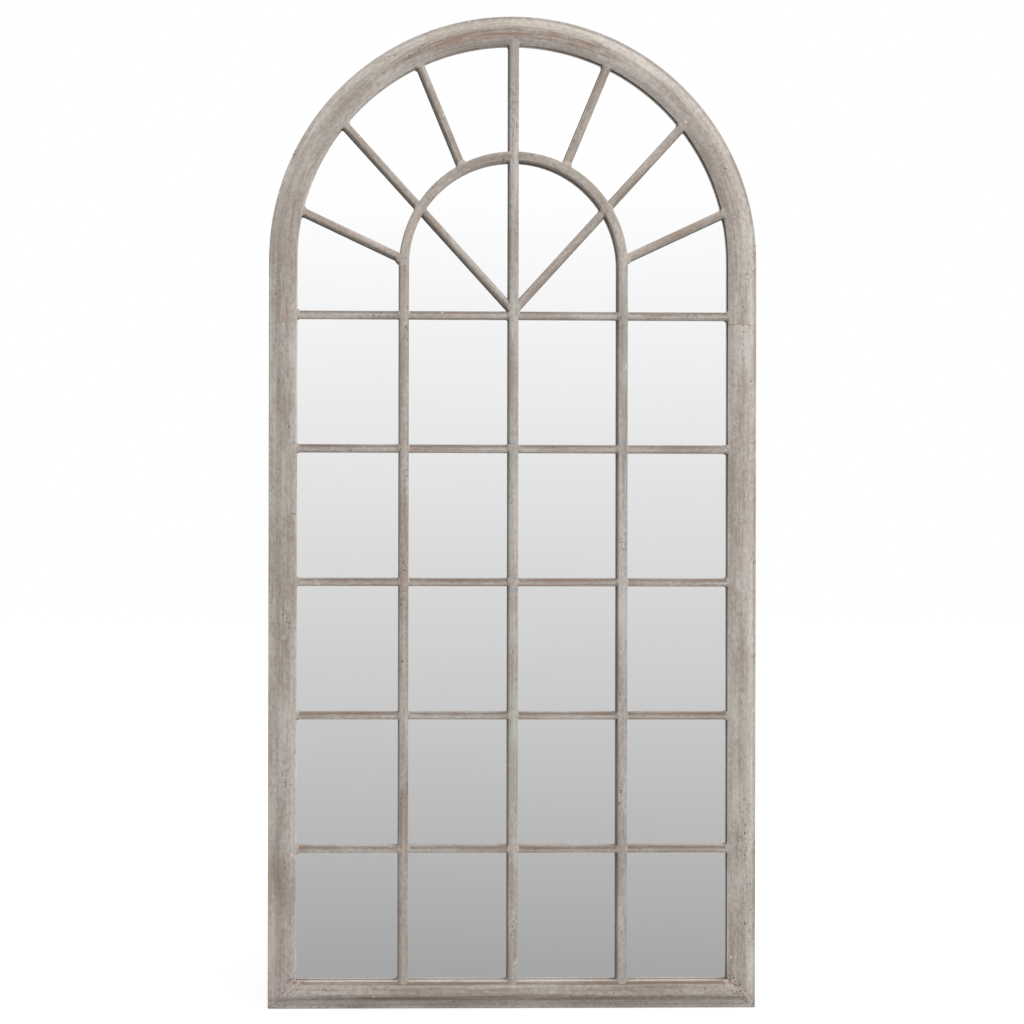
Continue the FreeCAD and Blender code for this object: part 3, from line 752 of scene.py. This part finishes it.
# %% Filler finish
PUTTY_PALE = paint(190, 182, 173)
PUTTY_GREY = paint(170, 162, 153)
SMEARS = (180.0, 180.0, 2.0, 4.0, 0.6)
GRIT = (900.0, 900.0, 5.0, 2.0)
GRIT_STEP = (0.64, 0.74)
PUTTY_STEP = (0.35, 0.65)
PUTTY_ROUGH_STEP = (0.2, 0.8, 0.75, 0.92)
GRIT_RELIEF = 0.4
PUTTY_BUMP = 0.0004
putty, tree, shader = new_finish("pale_putty")
smears = grain_cloud(tree, level_grain(tree), *SMEARS)
grit = grain_cloud(tree, level_grain(tree), *GRIT)
colour = blend(tree, soft_step(tree, smears, *PUTTY_STEP), PUTTY_GREY, PUTTY_PALE)
colour = blend(tree, soft_step(tree, grit, *GRIT_STEP), colour, BROWN_LIGHT)
height = calc(tree, "MULTIPLY_ADD", grit, GRIT_RELIEF, smears)
finish_with(tree, shader, colour, soft_step(tree, grit, *PUTTY_ROUGH_STEP), height, PUTTY_BUMP)
shader.inputs["Specular IOR Level"].default_value = DULL_SPECULAR
joint_filler.data.materials.append(putty)
print("putty on", joint_filler.name)

# %% [markdown]
# ## Screws on the back
#
# The back board and the hangers are held by small pan-head screws. The solids have plain heads; a real head
# is domed and has a cross for the driver. Two crossed blocks cut that cross with a Boolean, which is much
# easier than drawing it face by face. The cylinder starts as the head's rim; its two ends are then drawn out
# to a dome and a point.

# %% One screw
DOME_HEIGHT = 0.001
DOME_RINGS = ((0.0005, 0.90), (0.0004, 0.72), (0.0001, 0.60))
POINT_SHARE = 0.02
FACING = 0.9
CROSS_SHARE = 1.10
CROSS_DEPTH = 0.0024
CROSS_WIDTH = 0.0007
CROSS_TAPER = 0.6
SMOOTH_ANGLE = math.radians(35)


def pick_faces(piece, chosen):
    """In edit mode, selects the faces for which chosen(normal) holds."""
    bpy.ops.mesh.select_mode(type="FACE")
    bpy.ops.mesh.select_all(action="DESELECT")
    net = bmesh.from_edit_mesh(piece.data)
    for face in net.faces:
        face.select_set(chosen(face.normal))
    bmesh.update_edit_mesh(piece.data)


def draw_out(distance, share):
    """Extrudes the picked face along Y and resizes its end."""
    bpy.ops.mesh.extrude_region_move(TRANSFORM_OT_translate={"value": (0.0, distance, 0.0)})
    bpy.ops.transform.resize(value=(share, 1.0, share))


def model_screw(name, head_radius, head_height, shank_radius, length):
    """Pan-head screw about the origin: seat at y = 0, head towards +Y, point towards -Y."""
    rim = head_height - DOME_HEIGHT
    bpy.ops.object.select_all(action="DESELECT")
    bpy.ops.mesh.primitive_cylinder_add(vertices=32, radius=head_radius, depth=rim,
                                        location=(0.0, rim / 2, 0.0), rotation=(-math.pi / 2, 0.0, 0.0))
    screw = bpy.context.object
    screw.name = name
    bpy.ops.object.transform_apply(location=True, rotation=True, scale=True)
    bpy.ops.object.mode_set(mode="EDIT")
    pick_faces(screw, lambda normal: normal.y > FACING)
    for rise, share in DOME_RINGS:
        draw_out(rise, share)
    pick_faces(screw, lambda normal: normal.y < -FACING)
    bpy.ops.mesh.inset(thickness=head_radius - shank_radius)
    draw_out(-(length - 2 * shank_radius), 1.0)
    draw_out(-2 * shank_radius, POINT_SHARE)
    bpy.ops.mesh.merge(type="CENTER")
    bpy.ops.object.mode_set(mode="OBJECT")
    return screw


def cut_cross(screw, head_radius, head_height):
    """Cuts a tapered cross into the head."""
    bpy.ops.object.select_all(action="DESELECT")
    bpy.ops.mesh.primitive_cube_add(size=1.0, location=(0.0, head_height, 0.0))
    blade = bpy.context.object
    bpy.ops.object.mode_set(mode="EDIT")
    bpy.ops.transform.resize(value=(CROSS_SHARE * head_radius, CROSS_DEPTH, CROSS_WIDTH))
    pick_faces(blade, lambda normal: normal.y < -FACING)
    bpy.ops.transform.resize(value=(CROSS_TAPER, 1.0, CROSS_TAPER))
    bpy.ops.object.mode_set(mode="OBJECT")
    bpy.ops.object.transform_apply(location=True, rotation=True, scale=True)
    for turn in (0.0, math.pi / 2):
        blade.data.transform(Matrix.Rotation(turn, 4, "Y"))
        cut = screw.modifiers.new("cross", "BOOLEAN")
        cut.operation = "DIFFERENCE"
        cut.object = blade
        bpy.context.view_layer.objects.active = screw
        bpy.ops.object.modifier_apply(modifier=cut.name)
    bpy.data.objects.remove(blade)
    bpy.ops.object.select_all(action="DESELECT")
    screw.select_set(True)
    bpy.ops.object.shade_smooth_by_angle(angle=SMOOTH_ANGLE)


BOARD_HEAD = (0.0030, 0.0018)
BOARD_SHANK = (0.0015, 0.010)
HANGER_HEAD = (0.0032, 0.0020)
HANGER_SHANK = (0.0017, 0.012)
board_screw = model_screw("board_screw", *BOARD_HEAD, *BOARD_SHANK)
cut_cross(board_screw, *BOARD_HEAD)
hanger_screw = model_screw("hanger_screw", *HANGER_HEAD, *HANGER_SHANK)
cut_cross(hanger_screw, *HANGER_HEAD)
print("screws:", len(board_screw.data.polygons), "and", len(hanger_screw.data.polygons), "faces")

# %% [markdown]
# Nobody drives screws to the same angle, so each copy is turned by its own amount. They sit where the
# solids' screws sit: seventeen round the board, 26 mm in from the outer edge, and two under each hanger.

# %% Screws in their places
BOARD_SCREW_IN = 0.026
BOARD_SEAT_Y = 0.008
HANGER_SEAT_Y = 0.0162
HANGER_X = 0.335
HANGER_SCREW_HEIGHTS = (1.0188, 1.0058)
RAIL_SCREW_SHARES = (-2 / 3, 0.0, 2 / 3)
SIDE_SCREWS = 4
ARCH_SCREWS = 6
SCREW_TURN = 1.9
screw_run = HALF_WIDTH - BOARD_SCREW_IN
board_places = [(screw_run * share, BOARD_SCREW_IN) for share in RAIL_SCREW_SHARES]
for number in range(SIDE_SCREWS):
    z = FRAME_WIDTH + (LEG_JOINT_Z - FRAME_WIDTH) * (number + 0.5) / SIDE_SCREWS
    board_places += [(-screw_run, z), (screw_run, z)]
for number in range(ARCH_SCREWS):
    turn = math.radians(180 * (number + 0.5) / ARCH_SCREWS)
    board_places.append((screw_run * math.cos(turn), SPRING_Z + screw_run * math.sin(turn)))
hanger_places = [(side * HANGER_X, z) for side in (-1, 1) for z in HANGER_SCREW_HEIGHTS]


def screw_places(places, seat_y):
    """Placing matrices of screws at (x, z), each with a turn of its own."""
    return [Matrix.Translation((x, seat_y, z)) @ Matrix.Rotation(SCREW_TURN * number, 4, "Y")
            for number, (x, z) in enumerate(places)]


board_screws = lay_copies(board_screw, "cross_head_board_screws",
                          screw_places(board_places, BOARD_SEAT_Y))
hanger_screws = lay_copies(hanger_screw, "cross_head_hanger_screws",
                           screw_places(hanger_places, HANGER_SEAT_Y))
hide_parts("back_board_screws")
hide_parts("hanger_screws")
print("screws placed:", len(board_places), "and", len(hanger_places))

# %% [markdown]
# ## Metal, board and dowels
#
# Yellow zinc on the screws is never one colour: it drifts from brass to rose. The hangers have bright zinc,
# cloudy and finely scratched. The back board is pressed fibre, a felt of short brown hairs lying every way,
# so two stretched clouds at right angles make it, with a few soft stains. The dowels inside the joints are
# beech with short dark flecks.

# %% Plated steel
BRASS = paint(206, 188, 138)
ROSE_BRASS = paint(196, 170, 150)
ZINC = paint(196, 200, 204)
GREY_ZINC = paint(172, 177, 184)
PLATE_CLOUDS = (260.0, 260.0, 1.0)
SCRATCHES = (2600.0, 240.0, 3.0, 2.0)
PLATE_ROUGH_STEP = (0.6, 1.4, 0.24, 0.46)
PLATE_BUMP = 0.00004


def plated_steel(name, main, drift, drift_from, drift_to):
    """Metal whose colour drifts between two tones in clouds, with fine scratches."""
    material, tree, shader = new_finish(name)
    clouds = grain_cloud(tree, level_grain(tree), *PLATE_CLOUDS)
    scratches = grain_cloud(tree, level_grain(tree), *SCRATCHES)
    colour = blend(tree, soft_step(tree, clouds, drift_from, drift_to), main, drift)
    rough = soft_step(tree, calc(tree, "ADD", clouds, scratches), *PLATE_ROUGH_STEP)
    finish_with(tree, shader, colour, rough, scratches, PLATE_BUMP)
    shader.inputs["Metallic"].default_value = 1.0
    return material


yellow_zinc = plated_steel("yellow_zinc", BRASS, ROSE_BRASS, drift_from=0.42, drift_to=0.62)
bright_zinc = plated_steel("bright_zinc", ZINC, GREY_ZINC, drift_from=0.38, drift_to=0.64)
for piece in (board_screws, hanger_screws):
    piece.data.materials.append(yellow_zinc)
for side_name in ("left", "right"):
    for part in ("strap", "ring"):
        dress(f"hanger_{part}_{side_name}", bright_zinc)
print("plated:", yellow_zinc.name, bright_zinc.name)

# %% Board and dowels
FIBRE_DARK = paint(118, 84, 58)
FIBRE_PALE = paint(158, 119, 86)
FIBRE_STAIN = paint(112, 80, 57)
LEVEL_HAIRS = (140.0, 1100.0, 2.0)
UPRIGHT_HAIRS = (140.0, 1100.0, 9.0)
STAINS = (6.0, 6.0, 4.0, 4.0)
HAIR_STEP = (0.45, 0.72)
STAIN_STEP = (0.45, 1.0)
HAIR_ROUGH_STEP = (0.4, 0.75, 0.5, 0.72)
HAIR_BUMP = 0.00012
hardboard, tree, shader = new_finish("pressed_fibre")
hairs = calc(tree, "MAXIMUM", grain_cloud(tree, level_grain(tree), *LEVEL_HAIRS),
             grain_cloud(tree, upright_grain(tree), *UPRIGHT_HAIRS))
stains = grain_cloud(tree, level_grain(tree), *STAINS)
colour = blend(tree, soft_step(tree, hairs, *HAIR_STEP), FIBRE_DARK, FIBRE_PALE)
colour = blend(tree, soft_step(tree, stains, *STAIN_STEP), colour, FIBRE_STAIN)
finish_with(tree, shader, colour, soft_step(tree, hairs, *HAIR_ROUGH_STEP), hairs, HAIR_BUMP)
dress("back_board", hardboard)

BEECH_DARK = paint(176, 132, 96)
BEECH_PALE = paint(206, 168, 130)
BEECH_FLECKS = (500.0, 2400.0, 6.0, 2.0)
BEECH_STEP = (0.35, 0.62)
BEECH_ROUGH_STEP = (0.3, 0.7, 0.55, 0.7)
BEECH_BUMP = 0.0001
beech, tree, shader = new_finish("turned_beech")
flecks = grain_cloud(tree, level_grain(tree), *BEECH_FLECKS)
colour = blend(tree, soft_step(tree, flecks, *BEECH_STEP), BEECH_DARK, BEECH_PALE)
finish_with(tree, shader, colour, soft_step(tree, flecks, *BEECH_ROUGH_STEP), flecks, BEECH_BUMP)
for name in ("leg_dowels", "crown_dowels", "corner_dowels"):
    dress(name, beech)
print("board and dowels finished")

# %% [markdown]
# ## Floor, sky and light
#
# The studio is white to the camera. The floor catches a soft shadow; its extra white shows only to camera
# rays, so it puts no light on the object. The sky is white to the camera too, but a mirror sees it as a
# room: dim at the bottom and bright at the top, in step with the height of the ray. One large lamp from the
# upper right gives the moulding form.

# %% Floor
FLOOR_SIZE = 60.0
FLOOR_Z = -0.0005
FLOOR_GREY = (0.55, 0.55, 0.55, 1.0)
FLOOR_GLOW = 0.62
bpy.ops.mesh.primitive_plane_add(size=FLOOR_SIZE, location=(0.0, 0.0, FLOOR_Z))
floor = bpy.context.object
floor.name = "studio_floor"
floor.visible_glossy = False
pale, tree, shader = new_finish("pale_floor")
shader.inputs["Base Color"].default_value = FLOOR_GREY
shader.inputs["Roughness"].default_value = 0.9
shader.inputs["Specular IOR Level"].default_value = 0.0
shader.inputs["Emission Color"].default_value = (1.0, 1.0, 1.0, 1.0)
to_camera = put(tree, "LightPath", {}).outputs["Is Camera Ray"]
tree.links.new(calc(tree, "MULTIPLY", to_camera, FLOOR_GLOW), shader.inputs["Emission Strength"])
floor.data.materials.append(pale)
print("floor at", floor.location.z)

# %% Sky
ROOM_LOW = -0.30
ROOM_HIGH = 0.196
ROOM_DIM = 0.214
ROOM_BRIGHT = 1.02
SKY_LIGHT = 0.78
sky = bpy.data.worlds.new("studio_sky")
sky.use_nodes = True
scene.world = sky
tree = sky.node_tree
ray = put(tree, "TexCoord", {}).outputs["Generated"]
climb = put(tree, "SeparateXYZ", {0: ray}).outputs[2]
room = put(tree, "MapRange", {0: climb, 1: ROOM_LOW, 2: ROOM_HIGH, 3: ROOM_DIM, 4: ROOM_BRIGHT}).outputs[0]
path = put(tree, "LightPath", {})
to_camera = path.outputs["Is Camera Ray"]
to_mirror = path.outputs["Is Glossy Ray"]
level = put(tree, "Mix", {0: to_camera, 2: room, 3: 1.0}).outputs[0]
shown = calc(tree, "MAXIMUM", to_camera, to_mirror)
strength = put(tree, "Mix", {0: shown, 2: SKY_LIGHT, 3: 1.0}).outputs[0]
background = tree.nodes["Background"]
tree.links.new(level, background.inputs["Color"])
tree.links.new(strength, background.inputs["Strength"])
print("sky: white to the camera, graded in the mirror")

# %% Lamp
LAMP_PLACE = (1.87, -2.5, 3.04)
LAMP_AIM = Vector((0.0, 0.0, 0.7))
bpy.ops.object.light_add(type="AREA", location=LAMP_PLACE)
key = bpy.context.object
key.name = "key_lamp"
key.data.size = 1.6
key.data.energy = 66.0
key.rotation_euler = (LAMP_AIM - key.location).to_track_quat("-Z", "Y").to_euler()
print("key lamp", key.data.energy, "W")

# %% [markdown]
# ## Camera
#
# The photograph was taken from left of the middle, at about the height of the third row of bars. Its
# verticals stay upright because the camera looks level, and the frame is then moved up and across by the
# lens shift. The numbers come from matching bar and edge positions, to about a pixel.

# %% Camera
YAW = math.radians(-1.312)
ROLL = math.radians(0.109)
eye = bpy.data.cameras.new("photo_camera")
eye.lens = 68.55
eye.sensor_width = 36.0
eye.shift_x = 0.2046
eye.shift_y = 0.069
camera = bpy.data.objects.new("photo_camera", eye)
scene.collection.objects.link(camera)
camera.location = (-0.360, -2.750, 0.600)
upright = Matrix.Rotation(math.pi / 2, 3, "X")
stand = Matrix.Rotation(YAW, 3, "Z") @ upright @ Matrix.Rotation(ROLL, 3, "Z")
camera.rotation_euler = stand.to_euler()
scene.camera = camera
scene.view_settings.view_transform = "Standard"
print("camera", tuple(round(value, 3) for value in camera.location), "lens", eye.lens)
